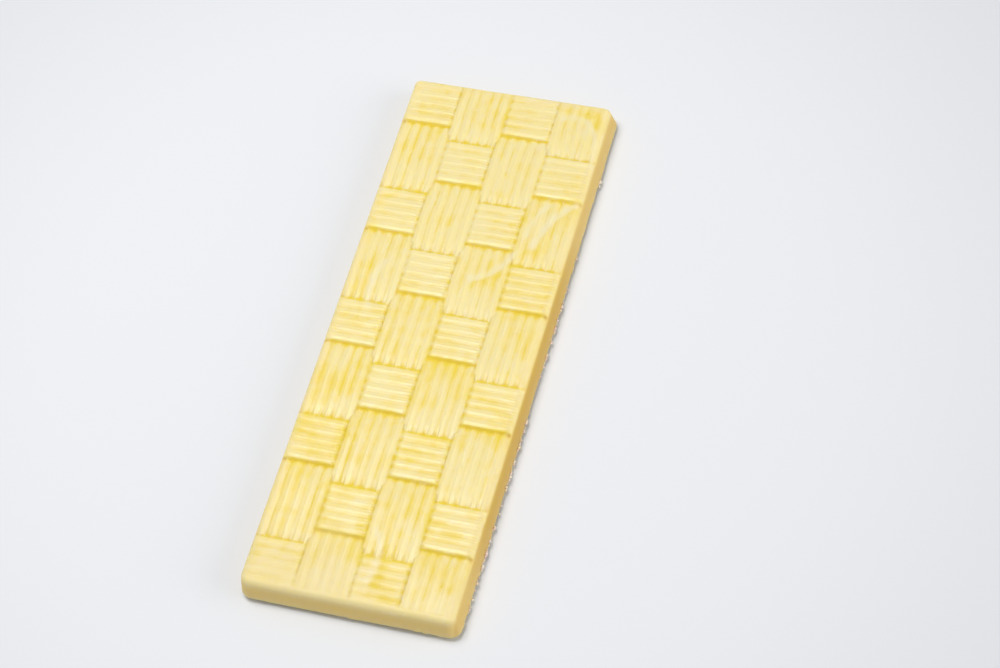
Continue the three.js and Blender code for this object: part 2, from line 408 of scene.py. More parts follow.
def chocolate_material(colours):
    """White chocolate: buttery, pale-streaked and softly glossy, with painted shade in grooves,
    edges and walls.
    """
    material, nodes, shader = new_material("white_chocolate", 0.36)
    tree = material.node_tree
    here = object_coordinates(nodes)
    hollow_shade, lined, edge, side = (stored(nodes, name) for name in ("hollow_shade", "lined", "edge", "side"))
    patches, grain = mottled(tree, here, 180.0, 0.40, 0.66)
    streaks = rib_streaks(tree, nodes, here)
    lines = times(tree, fine_lines(tree, nodes, here), lined)
    # Painted shade: the hollows' deeper yellow, with hairline valleys a little deeper and their
    # ridges paler; the patches and streaks are random tone.
    depth = plus(tree, hollow_shade, times(tree, patches, 0.2))
    depth = minus(tree, depth, times(tree, lines, 0.16))
    depth = plus(tree, depth, times(tree, minus(tree, streaks, 0.5), 0.42))
    face = blended(tree, mapped(tree, depth, 0.0, 1.0), colours.chocolate, colours.hollow_shade)
    # Painted shade towards the face's edges and over the near end.
    face = blended(tree, times(tree, edge, 0.65), face, colours.rim)
    # Painted shade on the walls, deeper still on the right wall.
    wall = blended(tree, hollow_shade, colours.side, colours.wall_shade)
    tint = blended(tree, side, face, wall)
    # Pale smears and streaks take the bloom colour; on the walls the same value paints a paler foot,
    # partly painted light bounced up from the floor.
    smear_and_bounce = times(tree, stored(nodes, "smear_and_bounce"), plus(tree, streaks, 0.1))
    off_walls = mapped(tree, side, 0.0, 1.0, 1.0, 0.0)
    pale_streaks = times(tree, mapped(tree, streaks, 0.54, 0.70, 0.0, 0.35), off_walls)
    smear_and_bounce = maths(tree, "MAXIMUM", smear_and_bounce, pale_streaks)
    join(tree, blended(tree, smear_and_bounce, tint, colours.bloom), shader.inputs["Base Color"])
    shader.inputs["Subsurface Weight"].default_value = 1.0
    shader.inputs["Subsurface Radius"].default_value = (1.0, 0.95, 0.38)
    shader.inputs["Subsurface Scale"].default_value = 1.3 * MM
    shader.inputs["Specular IOR Level"].default_value = 0.45
    shader.inputs["Coat Roughness"].default_value = 0.18
    gloss = mapped(tree, depth, 0.1, 0.5, 0.2, 0.0)
    join(tree, times(tree, lined, gloss), shader.inputs["Coat Weight"])
    dull_grain = mapped(tree, grain, 0.3, 0.7, 0.0, 0.12)
    rough = plus(tree, dull_grain, mapped(tree, edge, 0.0, 0.55, 0.30, 0.6))
    rough = plus(tree, rough, mapped(tree, depth, 0.4, 1.0, 0.0, 0.35))
    join(tree, rough, shader.inputs["Roughness"])
    relief = plus(tree, lines, times(tree, grain, 0.25))
    bumped(tree, shader, relief, 0.10 * MM, 0.8)
    return material


def rib_streaks(tree, nodes, here):
    """Fine streaks that run with the ribs, whichever way these lie."""
    lengthwise = noise(tree, stretched(tree, here, (1.0, 0.25, 1.0)), 700.0, 3.0, 0.6, 0.4)
    across = noise(tree, stretched(tree, here, (0.2, 1.0, 1.0)), 720.0, 3.0, 0.6, 0.4)
    return blended(tree, stored(nodes, "crosswise"), lengthwise, across)


def fine_lines(tree, nodes, here):
    """Two and three hairlines to a rib, here one and there the other."""
    choice = noise(tree, here, 260.0, 1.0)
    waver = times(tree, noise(tree, here, 150.0, 1.0), 0.12)
    strand = plus(tree, stored(nodes, "strand"), waver)
    pairs = maths(tree, "COSINE", times(tree, strand, 4 * math.pi), 0.0)
    threes = maths(tree, "COSINE", times(tree, strand, 6 * math.pi), 0.0)
    crosswise = stored(nodes, "crosswise")
    pair_share = times(tree, mapped(tree, choice, 0.3, 0.6, 0.3, 1.0),
                       mapped(tree, crosswise, 0.0, 1.0, 0.2, 0.45))
    three_share = times(tree, mapped(tree, choice, 0.4, 0.7, 1.1, 0.5),
                        mapped(tree, crosswise, 0.0, 1.0, 0.65, 0.45))
    return minus(tree, times(tree, pairs, pair_share), times(tree, threes, three_share))


def crumb_material(name, first, second):
    """Dry cake crumb, matt and grainy, each grain a little paler or deeper."""
    material, nodes, shader = new_material(name, 0.85)
    tree = material.node_tree
    here = object_coordinates(nodes)
    patches, grain = mottled(tree, here, 420.0, 0.38, 0.62)
    join(tree, blended(tree, patches, first, second), shader.inputs["Base Color"])
    shader.inputs["Subsurface Weight"].default_value = 0.25
    shader.inputs["Subsurface Radius"].default_value = (1.0, 0.7, 0.5)
    shader.inputs["Subsurface Scale"].default_value = 0.4 * MM
    bumped(tree, shader, grain, 0.12 * MM, 0.8)
    return material


def sugar_material(name, rgb):
    """Hard pressed sugar, smooth with a slight shine and a faint powdery bloom."""
    material, nodes, shader = new_material(name, 0.38)
    tree = material.node_tree
    here = object_coordinates(nodes)
    patches, grain = mottled(tree, here, 1300.0, 0.5, 0.8)
    bloom_share, bloom_tone = 0.28, 0.85
    pale = tuple((1 - bloom_share) * c + bloom_share * bloom_tone for c in rgb)
    join(tree, blended(tree, patches, rgb, pale), shader.inputs["Base Color"])
    join(tree, mapped(tree, grain, 0.3, 0.7, 0.3, 0.5), shader.inputs["Roughness"])
    bumped(tree, shader, grain, 0.05 * MM, 0.5)
    return material


def floor_material(rgb):
    """A plain surface, with painted shade that makes it a little greyer away from the middle."""
    material, nodes, shader = new_material("plain_floor", 0.6)
    tree = material.node_tree
    away = tree.nodes.new("ShaderNodeVectorMath")
    away.operation = "LENGTH"
    join(tree, object_coordinates(nodes), away.inputs[0])
    # Painted shade: the floor greys away from the middle where the light falls off.
    falloff_shade = tuple(0.91 * c for c in rgb)
    share = mapped(tree, away.outputs["Value"], 0.09, 0.22)
    join(tree, blended(tree, share, rgb, falloff_shade), shader.inputs["Base Color"])
    shader.inputs["Specular IOR Level"].default_value = 0.2
    return material


# ---- The woven bar ----


def column_x(weave, column):
    return (column - (weave.column_count - 1) / 2) * weave.column_pitch


def band_y(weave, slab, band):
    face_far = bar_high.y - slab.draft
    return face_far - weave.far_margin - weave.band_length / 2 - band * weave.band_pitch


def run(start, stop, spacing):
    """Evenly spaced places from start to stop, both ends among them."""
    steps = max(1, round(abs(stop - start) / spacing))
    return np.linspace(start, stop, steps + 1)


def mesh_lines(weave, slab, half_width, half_length):
    """Where the face's mesh lines lie: close pairs at the cells' borders, even between them."""
    cut = 0.12 * MM
    borders = [column_x(weave, c) + weave.column_pitch / 2 for c in range(weave.column_count - 1)]
    stops = [-half_width, *borders, half_width]
    across = []
    for i, (low, high) in enumerate(zip(stops, stops[1:])):
        low_cut = 0 if i == 0 else cut
        high_cut = 0 if i == len(stops) - 2 else cut
        across.append(run(low + low_cut, high - high_cut, 0.385 * MM))
    along = [[-half_length, half_length]]
    for band in range(weave.band_count):
        middle = band_y(weave, slab, band)
        half = weave.band_length / 2
        along.append(run(middle - half + cut, middle + half - cut, 0.294 * MM))
        if band + 1 < weave.band_count:
            next_far = band_y(weave, slab, band + 1) + half
            along.append(run(next_far + cut, middle - half - cut, 0.45 * MM))
    along = np.unique(np.concatenate(along))
    along = along[np.abs(along) <= half_length]
    return np.concatenate(across), along


# The rings of the section are counted from the face, which is ring 0: first the rounded edge's,
# then the wall's, then two round the back's edge, and then the back's.
EDGE_RINGS = 6
WALL_RINGS = 5
WALL_FOOT = EDGE_RINGS + WALL_RINGS


def profile_rings(slab):
    """The section from the face down: each ring's inset from the back's outline, and its height."""
    top, rings = bar_high.z, []
    for step in range(1, EDGE_RINGS + 1):
        angle = math.pi / 2 * (1 - step / EDGE_RINGS)
        rings.append((slab.draft + slab.edge_radius * (1 - math.cos(angle)),
                      top - slab.edge_radius * (1 - math.sin(angle))))
    wall_top = top - slab.edge_radius
    wall_foot = slab.back_height + slab.back_edge
    for step in range(1, WALL_RINGS + 1):
        share = step / WALL_RINGS
        rings.append((slab.draft * (1 - share), wall_top + (wall_foot - wall_top) * share))
    rings.append((0.3 * slab.back_edge, slab.back_height + 0.3 * slab.back_edge))
    rings.append((slab.back_edge, slab.back_height))
    rings.append((1.0 * MM, slab.back_height + 0.01 * MM))
    rings.append((2.4 * MM, slab.back_height + 0.02 * MM))
    return rings


def blank_slab(columns, rows, face_inset, face_height, rings):
    """A grid for a face. Its rim is extruded through the rings, round to the back, and filled."""
    half_width, half_length = bar_high.x - face_inset, bar_high.y - face_inset
    clear_selection()
    bpy.ops.mesh.primitive_grid_add(
        x_subdivisions=columns - 1, y_subdivisions=rows - 1, size=2, location=(0, 0, face_height))
    blank = bpy.context.object
    bpy.ops.object.mode_set(mode="EDIT")
    bpy.ops.mesh.select_mode(type="EDGE")
    bpy.ops.mesh.select_all(action="SELECT")
    bpy.ops.transform.resize(value=(half_width, half_length, 1))
    bpy.ops.mesh.region_to_loop()
    inset, height = face_inset, face_height
    for next_inset, next_height in rings:
        bpy.ops.mesh.extrude_edges_move(
            TRANSFORM_OT_translate={"value": (0, 0, next_height - height)})
        grow = ((bar_high.x - next_inset) / (bar_high.x - inset),
                (bar_high.y - next_inset) / (bar_high.y - inset), 1)
        bpy.ops.transform.resize(value=grow, center_override=(0, 0, 0))
        inset, height = next_inset, next_height
    bpy.ops.mesh.edge_face_add()
    bpy.ops.mesh.select_all(action="SELECT")
    bpy.ops.mesh.normals_make_consistent(inside=False)
    bpy.ops.object.mode_set(mode="OBJECT")
    bpy.ops.object.transform_apply(location=True, rotation=True, scale=True)
    return blank


def rib_shares(place, edges):
    """Which rib a place across a cell lies on, and how far across it, from 0 to 1."""
    index = np.clip(np.searchsorted(edges, place) - 1, 0, len(edges) - 2)
    low, high = edges[index], edges[index + 1]
    return index, np.clip((place - low) / (high - low), 0, 1)


def ribbed(weave, across, along, cell_width, seed, wander, pair_share, three_share):
    """The ribs of one cell, across being 0 to 1 over its width and along a length on the bar.
    Puts out how far below its crest each place is, 0 to 1, each rib's lift, the fine lines, two
    or three to a rib, and the place counted in ribs."""
    rng = np.random.default_rng(seed)
    n = weave.ribs_per_cell
    edges = np.linspace(0, 1, n + 1)
    edges[1:-1] += rng.uniform(-0.13, 0.13, n - 1) / n
    lifts = rng.uniform(-1, 0, n)
    sway = 0.6 * wander * soft_noise(along, across * cell_width * 0.35, 6 * MM, seed)
    place = across + sway / cell_width + rng.uniform(-0.5, 0.5) * wander / cell_width
    index, share = rib_shares(place, edges)
    below = 0.55 * (2 * share - 1) ** 2 + 0.45 * (0.5 + 0.5 * np.cos(2 * math.pi * share))
    depth = 0.82 + 0.18 * soft_noise(along, (index + (share > 0.5)) * 5 * MM, 6 * MM, seed + 1)
    strength = 0.6 + 0.6 * soft_noise(along * 0.5, place * cell_width, 2.2 * MM, seed + 3)
    second, third = pair_share * rng.uniform(0.3, 1.0), three_share * rng.uniform(0.4, 1.0)
    lines = strength * (second * np.cos(4 * math.pi * share) - third * np.cos(6 * math.pi * share))
    return below * depth, lifts[index], lines, index + share


def lengthwise_height(weave, x, y, column, near, far, seed):
    """Ribs that arch up from under one band and down under the next: height against the crests,
    how much painted shade each place gets for lying deep in a groove or hollow, how strong its
    fine lines are, whether its ribs run crosswise, and its place in ribs."""
    width = weave.column_pitch + 2 * weave.overlap
    t = (y - near) / (far - near)
    s = (x - column_x(weave, column)) / width + 0.5
    below, lift, lines, strand = ribbed(weave, s, y, width, seed, 0.32 * MM, 0.3, 0.7)
    dive = weave.lengthwise_dive * np.abs(2 * t - 1) ** 3.6 * np.where(t < 0.5, 0.6, 1.0)
    pocket = smooth_step(y, far - 2.3 * MM, far - 0.5 * MM)
    tip = smooth_step(-y, -near - 3.4 * MM, -near - 0.8 * MM)
    below = below + tip * (0.5 + 0.5 * np.cos(2 * math.pi * strand) - below)
    groove = weave.rib_rise * (0.78 + 0.7 * pocket + 0.9 * tip) * below
    height = (0.10 * MM * lift - groove - dive - 0.18 * MM * pocket ** 2
              + weave.line_rise * lines * (0.5 + 0.2 * tip))
    contrast = 1 + 0.5 * soft_noise(x, y, 13 * MM, 61)
    root = smooth_step(-y, -near - 1.6 * MM, -near - 0.5 * MM)
    # Painted shade: deeper yellow in the grooves, in the pocket under the next band and at the root
    # where the ribs dive under it, deeper towards the far end, which turns from the light, and paler
    # towards the lit near end. The contrast is a random tone.
    hollow_shade = ((0.37 * contrast + 0.15 * tip) * below + 0.03 + 0.22 * (t - 0.5)
              + pocket * (0.1 + 0.12 * below) + 0.34 * pocket ** 3 + 0.4 * root)
    from_side = 0.5 * width - np.abs(s - 0.5) * width
    lined = (0.22 + 0.8 * tip) * smooth_step(from_side, 0.1 * MM, 0.4 * MM)
    lined = lined * smooth_step(y, near + 0.5 * MM, near + 1.2 * MM)
    # Painted light: hairline valleys deeper and their ridges paler, and the tips paler as a painted
    # highlight, except at the root.
    return height, hollow_shade - 0.1 * lines - 0.15 * tip * (1 - root), lined, 0 * x, strand


def crosswise_height(weave, x, y, column, middle, seed):
    """Level ribs that dive only at both ends. Puts out the same as lengthwise_height."""
    half = weave.column_pitch / 2
    t = (x - column_x(weave, column)) / half
    s = (y - middle) / weave.band_length + 0.5
    below, lift, lines, strand = ribbed(weave, s, x, weave.band_length, seed, 0.14 * MM, 0.4, 0.5)
    ends = smooth_step(np.abs(t), 0.82, 1.0)
    if column == 0:
        ends = ends * (t > 0)
    if column == weave.column_count - 1:
        ends = ends * (t < 0)
    lip = smooth_step(np.abs(2 * s - 1), 0.88, 1.0)
    near_lip_shade = lip ** 2 * (s < 0.5)
    groove = weave.rib_rise * (0.48 + 0.8 * ends) * below
    height = (0.05 * MM * lift - groove - 0.17 * MM * lip ** 1.5
              + 0.7 * weave.line_rise * lines * (1 - ends) - weave.crosswise_dive * ends)
    contrast = 1 + 0.5 * soft_noise(x, y, 9 * MM, 62)
    # Painted shade: deeper yellow in the grooves, at the ends where the ribs dive and under the near
    # lip, with hairline valleys deeper and their ridges paler. The contrast is a random tone, and
    # each cell is a little deeper towards the near end.
    hollow_shade = 0.33 * contrast * below + ends * (0.34 + 0.3 * below) - 0.08 * lines + 0.35 * near_lip_shade
    hollow_shade = hollow_shade + 0.02 + 0.09 * smooth_step(-y, -10 * MM, 40 * MM)
    clear_of_sides = smooth_step(0.5 - np.abs(s - 0.5), 0.01, 0.05)
    clear_of_ends = smooth_step(1 - np.abs(t), 0.01, 0.06)
    lined = (0.25 + 0.6 * smooth_step(t, 0.6, 0.9)) * clear_of_sides * clear_of_ends
    return height, hollow_shade, lined, 0 * x + 1, strand


def weave_cells(weave, slab):
    """Every cell: its kind, column, near end and far end. Crosswise ones alternate both ways."""
    cells = []
    beyond, tuck = 2 * MM, 0.4 * MM
    for column in range(weave.column_count):
        far = bar_high.y - slab.draft + beyond
        for band in range(column % 2, weave.band_count, 2):
            middle = band_y(weave, slab, band)
            start = middle + weave.band_length / 2
            if band > 0:
                cells.append(("lengthwise", column, start - tuck, far))
            cells.append(("crosswise", column, start - weave.band_length, start))
            far = start - weave.band_length + tuck
        if far > band_y(weave, slab, weave.band_count - 1):
            cells.append(("lengthwise", column, bar_low.y + slab.draft - beyond, far))
    return cells


def weave_relief(weave, slab, x, y):
    """The woven face: the five values of lengthwise_height, from the higher cell at each place.
    Cells along the outline carry on past it."""
    relief = np.zeros((5, *x.shape))
    relief[0], relief[1] = -1.1 * MM, 1
    last_column = weave.column_count - 1
    first_band, last_band = band_y(weave, slab, 0), band_y(weave, slab, weave.band_count - 1)
    anywhere = 9.0
    for number, (kind, column, near, far) in enumerate(weave_cells(weave, slab)):
        seed = 100 + 10 * number
        off = x - column_x(weave, column)
        lengthwise = kind == "lengthwise"
        half = weave.column_pitch / 2 + (weave.overlap if lengthwise else 0.05 * MM)
        inside = off >= (-anywhere if column == 0 else -half)
        inside &= off <= (anywhere if column == last_column else half)
        if lengthwise:
            inside &= (y >= near) & (y <= far)
            here = lengthwise_height(weave, x[inside], y[inside], column, near, far, seed)
        else:
            inside &= y >= (-anywhere if near < last_band else near)
            inside &= y <= (anywhere if far > first_band else far)
            middle = (near + far) / 2
            here = crosswise_height(weave, x[inside], y[inside], column, middle, seed)
        here = np.array(here)
        higher = here[0] > relief[0, inside]
        relief[:, np.flatnonzero(inside)[higher]] = here[:, higher]
    return relief


def soft_relief(weave, slab, x, y):
    """The same, averaged over a small ring of places, as a mould rounds its edges. Creases, and
    steps that face the far end or a side, get painted shade as if they were deep hollows."""
    ring_places, ring_weight, middle_weight = 8, 0.09, 0.28
    full_crease = 0.09 * MM
    middle = weave_relief(weave, slab, x, y)
    total = middle_weight * middle[:4]
    ring = []
    for step in range(ring_places):
        angle = step * 2 * math.pi / ring_places
        dx, dy = weave.softness * math.cos(angle), weave.softness * math.sin(angle)
        ring.append(weave_relief(weave, slab, x + dx, y + dy)[:4])
        total = total + ring_weight * ring[-1]
    right, far, left, near = (ring[step][0] for step in (0, 2, 4, 6))
    # Painted shade in the creases and on the steps that face the far end or a side.
    crease = np.clip((total[0] - middle[0]) / full_crease, 0, 1)
    back = (near - far) / (2 * weave.softness)
    flank = np.abs(right - left) / (2 * weave.softness)
    steep_shade = 0.5 * np.clip(back - 0.18, 0, 0.5) + 0.2 * np.clip(flank - 0.3, 0, 0.5)
    crease = np.clip(crease + steep_shade, 0, 1)
    return total[0], total[1] + 0.9 * crease, total[2] * (1 - crease), total[3], middle[4]


# Pale smears that the chocolate's fat left on the face. Each is a soft curve of three points across
# and along the bar in millimetres, with its width, its weight and the way to its deeper side.
SMEARS = (
    ((15.5, 74.0), (26.5, 78.0), (27.0, 60.0), 0.8, 0.8, (0.7, 0.7)),
    ((26.0, 47.0), (20.0, 42.0), (18.3, 32.0), 1.2, 1.0, (0.7, -0.7)),
    ((19.5, 46.0), (16.0, 42.0), (15.8, 35.0), 0.9, 1.0, (0.0, 0.0)),
    ((13.8, 28.8), (11.5, 21.5), (5.0, 19.3), 1.1, 1.0, (0.7, -0.7)),
    ((-19.0, 20.0), (-22.0, 12.0), (-19.5, 6.0), 0.9, 0.8, (-0.7, 0.0)),
    ((2.0, -58.0), (6.0, -64.0), (3.5, -72.0), 0.9, 0.9, (0.7, 0.0)),
    ((-10.0, -58.0), (-8.0, -66.0), (-7.0, -76.0), 4.5, 0.35, (0.0, 0.0)),
)


def smears(x, y):
    """How pale each place is under one of the smears, and how deep the tone beside one is."""
    steps = 25
    pale, deep = np.zeros(x.shape), np.zeros(x.shape)
    for start, middle, end, width, weight, (toward_x, toward_y) in SMEARS:
        nearest, side = np.full(x.shape, 1.0), np.zeros(x.shape)
        for share in np.linspace(0, 1, steps):
            a, b, c = (1 - share) ** 2, 2 * share * (1 - share), share ** 2
            off_x = x - (a * start[0] + b * middle[0] + c * end[0]) * MM
            off_y = y - (a * start[1] + b * middle[1] + c * end[1]) * MM
            away = np.hypot(off_x, off_y)
            side = np.where(away < nearest, off_x * toward_x + off_y * toward_y, side)
            nearest = np.minimum(nearest, away)
        pale = np.maximum(pale, weight * np.exp(-(nearest / (width * MM)) ** 2))
        beside = smooth_step(side, 0.3 * MM, 1.4 * MM) * np.exp(-(nearest / (4.5 * MM)) ** 2)
        deep = np.maximum(deep, beside)
    return pale, deep


def round_corners(x, y, half_width, half_length, radius):
    """Bends the square corners of nested outlines round, each to its own radius."""
    p = np.clip((np.abs(x) - (half_width - radius)) / radius, 0, 1)
    q = np.clip((np.abs(y) - (half_length - radius)) / radius, 0, 1)
    corner = (p > 0) & (q > 0)
    bent_x = half_width - radius + radius * p * np.sqrt(1 - q * q / 2)
    bent_y = half_length - radius + radius * q * np.sqrt(1 - p * p / 2)
    return np.where(corner, np.sign(x) * bent_x, x), np.where(corner, np.sign(y) * bent_y, y)


def outline_places(points, slab, across, along):
    """Where each vertex of the blank belongs in the real outline: its x, y and height, the ring it
    is on, how far down the wall it is, from 0 to 1, and whether it is nearer a side than an end."""
    face_inset = slab.draft + slab.edge_radius
    sections = np.array([(face_inset, bar_high.z), *profile_rings(slab)])
    ring = np.abs(points[:, 2:3] - sections[:, 1]).argmin(1)
    inset, z = sections[ring, 0], sections[ring, 1]
    half_width, half_length = bar_high.x - inset, bar_high.y - inset
    even_x = np.linspace(-1, 1, len(across))
    even_y = np.linspace(-1, 1, len(along))
    x = np.interp(points[:, 0] / half_width, even_x, across / across[-1]) * half_width
    y = np.interp(points[:, 1] / half_length, even_y, along / along[-1]) * half_length
    left = np.where(points[:, 1] < 0, slab.near_left_radius, slab.left_corner_radius)
    corner = np.where(points[:, 0] < 0, left, slab.corner_radius)
    radius = np.maximum(corner - inset, 0.8 * MM)
    x, y = round_corners(x, y, half_width, half_length, radius)
    down = np.clip((bar_high.z - z) / (bar_high.z - slab.back_height), 0, 1)
    y = y + slab.near_slope * (1 - down) ** 1.7 * smooth_step(-y, 72 * MM, 79 * MM)
    by_side = np.abs(x) / half_width > np.abs(y) / half_length
    return x, y, z, ring, down, by_side


def face_tones(x, y, hollow_shade, deep):
    """The hollows' painted shade with random tone over the whole face, which is deeper at the
    near left and paler in the far middle."""
    near_left = smooth_step(-x, -8 * MM, 14 * MM) * smooth_step(-y, 0, 35 * MM)
    near_left = near_left * smooth_step(y, -72 * MM, -62 * MM)
    far_middle = smooth_step(y, 30 * MM, 42 * MM) * smooth_step(-np.abs(x), -15 * MM, -9 * MM)
    return (hollow_shade + 0.4 * deep + 0.11 * soft_noise(x, y, 12 * MM, 2277)
            + 0.14 * soft_noise(x, y, 5 * MM, 5) + 0.12 * soft_noise(x, y, 2.2 * MM, 6)
            + 0.14 * near_left - 0.08 * far_middle)


def poured_rim(slab, x, y, ring):
    """How the poured rim waves up and down, and how far it bulges out, with a crust on the right."""
    wave = soft_noise(x + 2 * y, y - x, 7 * MM, 8) + 0.6 * soft_noise(x + y, y, 2.5 * MM, 9)
    foot = (ring >= WALL_FOOT - 1) & (ring <= WALL_FOOT + 2)
    rise = foot * 0.5 * slab.rim_wave * wave
    low_wall = (ring >= WALL_FOOT - 2) & (ring <= WALL_FOOT)
    bulge = low_wall * 0.35 * slab.rim_wave * (wave - 0.6)
    rim = (ring == WALL_FOOT) | (ring == WALL_FOOT + 1)
    crust = rim * (x > 0) * (0.5 + 0.5 * soft_noise(x, y, 9 * MM, 10))
    return rise, bulge + crust * 0.28 * MM * np.maximum(soft_noise(x, y, 0.9 * MM, 11), -0.3)


def shape_bar(bar, weave, slab, across, along):
    """Moves the blank's vertices to the real outline and the real relief."""
    face_inset = slab.draft + slab.edge_radius
    x, y, z, ring, down, by_side = outline_places(coordinates(bar), slab, across, along)
    relief, hollow_shade, lined, crosswise, strand = soft_relief(weave, slab, x, y)
    pale, deep = smears(x, y)
    hollow_shade = face_tones(x, y, hollow_shade, deep)
    plain = smooth_step(-y, bar_high.y - 3.5 * MM, bar_high.y - 2.2 * MM)
    left_share = smooth_step(-x, -12 * MM, 8 * MM)
    near_end = smooth_step(-y, bar_high.y - 13 * MM, bar_high.y - 4 * MM)
    faint = (1 - plain) * (1 - 0.45 * left_share * near_end)
    relief, hollow_shade = relief * (1 - plain), hollow_shade * faint
    drop = (bar_high.z - z) / slab.edge_radius
    fade = np.clip(1 - drop, 0, 1) ** 1.5 * (ring <= EDGE_RINGS)
    uneven = 0.05 * soft_noise(x, y, 9 * MM, 3) + 0.03 * soft_noise(x, y, 3.5 * MM, 4)
    height = z + fade * (relief - 0.05 * MM + uneven * MM)
    rise, bulge = poured_rim(slab, x, y, ring)
    height = height + rise
    x = x + bulge * by_side * np.sign(x)
    x = x + slab.right_flare * down * smooth_step(x, 10 * MM, 24 * MM)
    y = y + bulge * ~by_side * np.sign(y)
    y = y + slab.far_reach * smooth_step(y, 70 * MM, 78 * MM)
    place_vertices(bar, np.stack([x, y, height], 1))
    walls = (ring > 0) & (ring <= WALL_FOOT)
    above_back = ring <= WALL_FOOT
    # Painted shade on the right wall: deeper towards its foot and along the middle of its length.
    right_wall_shade = smooth_step(x, bar_high.x - 0.9 * MM, bar_high.x - 0.4 * MM)
    mid_length = smooth_step(-np.abs(y + 14 * MM), -58 * MM, -32 * MM)
    right_wall_shade = right_wall_shade * (0.22 + 0.35 * down + 0.4 * mid_length)
    on_bar = np.maximum(np.clip(hollow_shade, 0, 1) * fade, right_wall_shade)
    keep_values(bar, "hollow_shade", np.where(above_back, on_bar, 0.3))
    # The side mask gives the walls their painted shade; down the near wall it comes in more slowly.
    near_wall = smooth_step(-y, 76 * MM, 79 * MM)
    side = smooth_step(-height, -bar_high.z + 0.3 * MM, -bar_high.z + (1.5 + 1.4 * near_wall) * MM)
    keep_values(bar, "side", side * walls)
    # Pale smears on the face, and a paler foot on the walls: partly the chocolate's own paler foot,
    # partly painted light bounced up from the floor.
    keep_values(bar, "smear_and_bounce", pale * fade + 0.3 * smooth_step(down, 0.35, 1.0) * above_back)
    keep_values(bar, "lined", lined * fade * faint)
    keep_values(bar, "crosswise", crosswise)
    keep_values(bar, "strand", strand)
    # The edge value makes the rounding rougher and, in the colour, paints shade where it turns from
    # the light. Over the near end, more on the left, it makes the face more matt and paints the
    # light falling off.
    from_outline = np.minimum(bar_high.x - np.abs(x), bar_high.y - np.abs(y))
    edge = 0.55 * smooth_step(-from_outline, -face_inset - 1.0 * MM, -face_inset + 0.1 * MM)
    near_matt_and_shade = (0.15 + 0.3 * left_share) * smooth_step(-y, 50 * MM, 78 * MM)
    keep_values(bar, "edge", (edge + near_matt_and_shade) * above_back)


class OBJECT_OT_woven_bar(bpy.types.Operator):
    """Casts the bar itself, with its woven face, walls and poured back"""

    bl_idname = "chocolate.woven_bar"
    bl_label = "Woven bar"

    def execute(self, context):
        scene = context.scene
        weave, slab = scene.bar_weave, scene.bar_slab
        face_inset = slab.draft + slab.edge_radius
        across, along = mesh_lines(weave, slab, bar_high.x - face_inset, bar_high.y - face_inset)
        bar = blank_slab(len(across), len(along), face_inset, bar_high.z, profile_rings(slab))
        if len(bar.data.vertices) < len(across) * len(along):
            raise RuntimeError("the blank for the bar has fewer vertices than its face needs")
        shape_bar(bar, weave, slab, across, along)
        finish_piece(bar, "woven_bar", chocolate_material(scene.bar_colours))
        return {"FINISHED"}


# ---- The topping underneath ----

CRUMB_CREASE = math.radians(50)
SUGAR_CREASE = math.radians(48)


def back_rim(x, y):
    """How far in from the rim of the back a place is."""
    return np.minimum(bar_high.x - np.abs(x), bar_high.y - np.abs(y))


def crumb_cover(x, y):
    """How thickly the crumbs lie: 0 on a bare patch and along the rim, 1 where they are deep."""
    patches = soft_noise(x, y, 12 * MM, 31) + 0.7 * soft_noise(x, y, 4.5 * MM, 32)
    edge = 1.7 * MM + 0.8 * MM * soft_noise(x, y, 7 * MM, 33)
    inside_edge = smooth_step(back_rim(x, y) - edge, -0.5 * MM, 0.7 * MM)
    return smooth_step(patches, -0.85, -0.40) * inside_edge


def crumb_level(slab, topping, x, y):
    """Height of the crumb layer's lower side. Where it is bare, it is tucked into the chocolate."""
    bumps = (0.5 * soft_noise(x, y, 3.1 * MM, 34) + 0.6 * soft_noise(x, y, 1.5 * MM, 35)
             + 0.4 * soft_noise(x, y, 0.8 * MM, 36))
    tuck = 0.25 * MM
    depth = topping.bed_depth * (0.62 + 0.38 * np.clip(bumps, -1, 1))
    return slab.back_height + tuck - crumb_cover(x, y) * (tuck + depth)


def even_spots(number, offset):
    """Places spread evenly over the back by a rule, from -0.5 to 0.5 each way: each steps on from
    the last by two fixed shares of it."""
    share_x, share_y = 0.7548776662466927, 0.5698402909980532
    order = np.arange(number)
    return (offset + order * share_x) % 1 - 0.5, (offset + order * share_y) % 1 - 0.5


def modelled(obj):
    """Takes a modelled shape as points and triangles, and clears the object away."""
    bpy.ops.object.mode_set(mode="OBJECT")
    bpy.ops.object.transform_apply(location=True, rotation=True, scale=True)
    mesh = obj.data
    mesh.calc_loop_triangles()
    points = coordinates(obj)
    triangles = np.empty(len(mesh.loop_triangles) * 3, np.int32)
    mesh.loop_triangles.foreach_get("vertices", triangles)
    bpy.data.objects.remove(obj)
    bpy.data.meshes.remove(mesh)
    return points, triangles.reshape(-1, 3)


def copied(shape, turns, centres):
    """Copies of one shape, each turned by its own matrix and moved to its own place."""
    points, triangles = shape
    placed = np.einsum("nij,pj->npi", turns, points) + centres[:, None, :]
    offsets = np.arange(len(centres)) * len(points)
    return placed.reshape(-1, 3), (triangles[None] + offsets[:, None, None]).reshape(-1, 3)


def joined(parts):
    """One set of points and triangles from many."""
    points, triangles, total = [], [], 0
    for part_points, part_triangles in parts:
        points.append(part_points)
        triangles.append(part_triangles + total)
        total += len(part_points)
    return np.concatenate(points), np.concatenate(triangles)


def mesh_object(points, triangles):
    mesh = bpy.data.meshes.new("scattered")
    mesh.from_pydata(points, [], triangles)
    obj = bpy.data.objects.new("scattered", mesh)
    bpy.context.scene.collection.objects.link(obj)
    return obj


